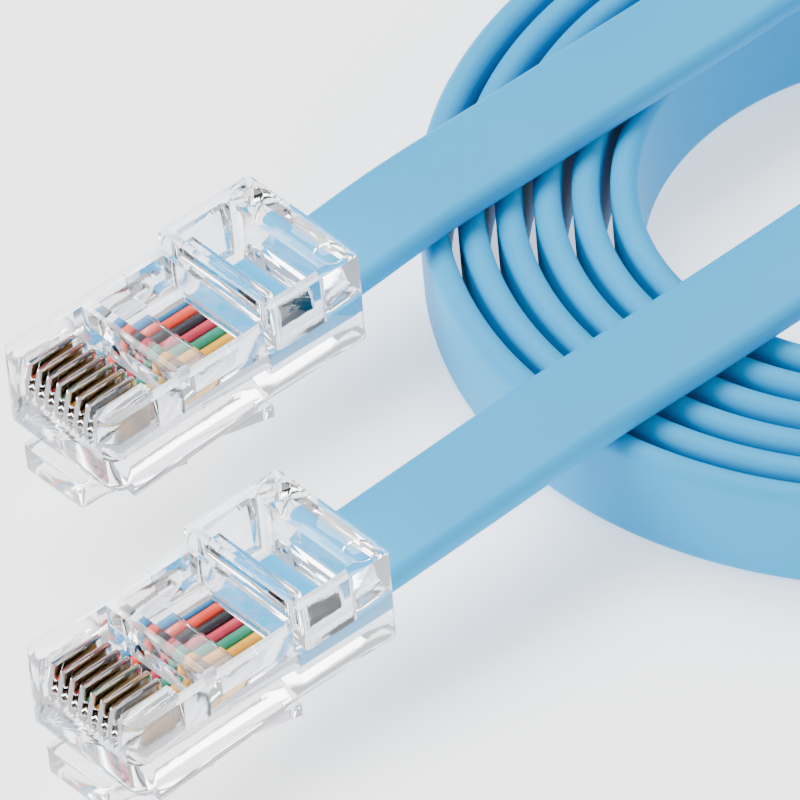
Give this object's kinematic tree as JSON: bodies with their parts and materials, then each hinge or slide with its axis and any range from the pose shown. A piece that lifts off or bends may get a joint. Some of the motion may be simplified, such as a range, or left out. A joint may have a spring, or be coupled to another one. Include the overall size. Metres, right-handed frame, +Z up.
{
  "type": "rj45 console cable",
  "caption": "Flat light-blue cable wound into a round coil standing on edge, with a clear modular plug and sprung latch on each end.",
  "frame": {"origin": "on the floor, under the middle of the box round the two plugs", "axes": "+X from the plugs' front faces towards the coil, +Y across the plugs, +Z up"},
  "size_m": [0.1352, 0.0718, 0.0139],
  "materials": {
    "housing": "clear moulded polycarbonate",
    "latch": "clear moulded polycarbonate",
    "contact": "gold plated",
    "jacket": "soft satin vinyl",
    "wire_blue": "satin insulation",
    "wire_orange": "satin insulation",
    "wire_black": "satin insulation",
    "wire_red": "satin insulation",
    "wire_green": "satin insulation",
    "wire_yellow": "satin insulation",
    "wire_brown": "satin insulation",
    "wire_grey": "satin insulation"
  },
  "bodies": {
    "cable": {"housing_a": "housing", "contact_a1": "contact", "wire_a1": "wire_blue", "contact_a2": "contact", "wire_a2": "wire_orange", "contact_a3": "contact", "wire_a3": "wire_black", "contact_a4": "contact", "wire_a4": "wire_red", "contact_a5": "contact", "wire_a5": "wire_green", "contact_a6": "contact", "wire_a6": "wire_yellow", "contact_a7": "contact", "wire_a7": "wire_brown", "contact_a8": "contact", "wire_a8": "wire_grey", "housing_b": "housing", "contact_b1": "contact", "wire_b1": "wire_blue", "contact_b2": "contact", "wire_b2": "wire_orange", "contact_b3": "contact", "wire_b3": "wire_black", "contact_b4": "contact", "wire_b4": "wire_red", "contact_b5": "contact", "wire_b5": "wire_green", "contact_b6": "contact", "wire_b6": "wire_yellow", "contact_b7": "contact", "wire_b7": "wire_brown", "contact_b8": "contact", "wire_b8": "wire_grey", "lead_a": "jacket", "coil": "jacket", "lead_b": "jacket"},
    "latch_a": {"latch_a": "latch"},
    "latch_b": {"latch_b": "latch"}
  },
  "joints": [
    {"name": "latch_a_press", "type": "hinge", "parent": "cable", "child": "latch_a", "pos_m": [-0.00125, 0.012, 0.00515], "axis": [0, -1, 0], "range_deg": [0, 16], "stiffness_Nm_per_rad": 0.05},
    {"name": "latch_b_press", "type": "hinge", "parent": "cable", "child": "latch_b", "pos_m": [-0.01955, -0.012, 0.00515], "axis": [0, -1, 0], "range_deg": [0, 16], "stiffness_Nm_per_rad": 0.05}
  ]
}
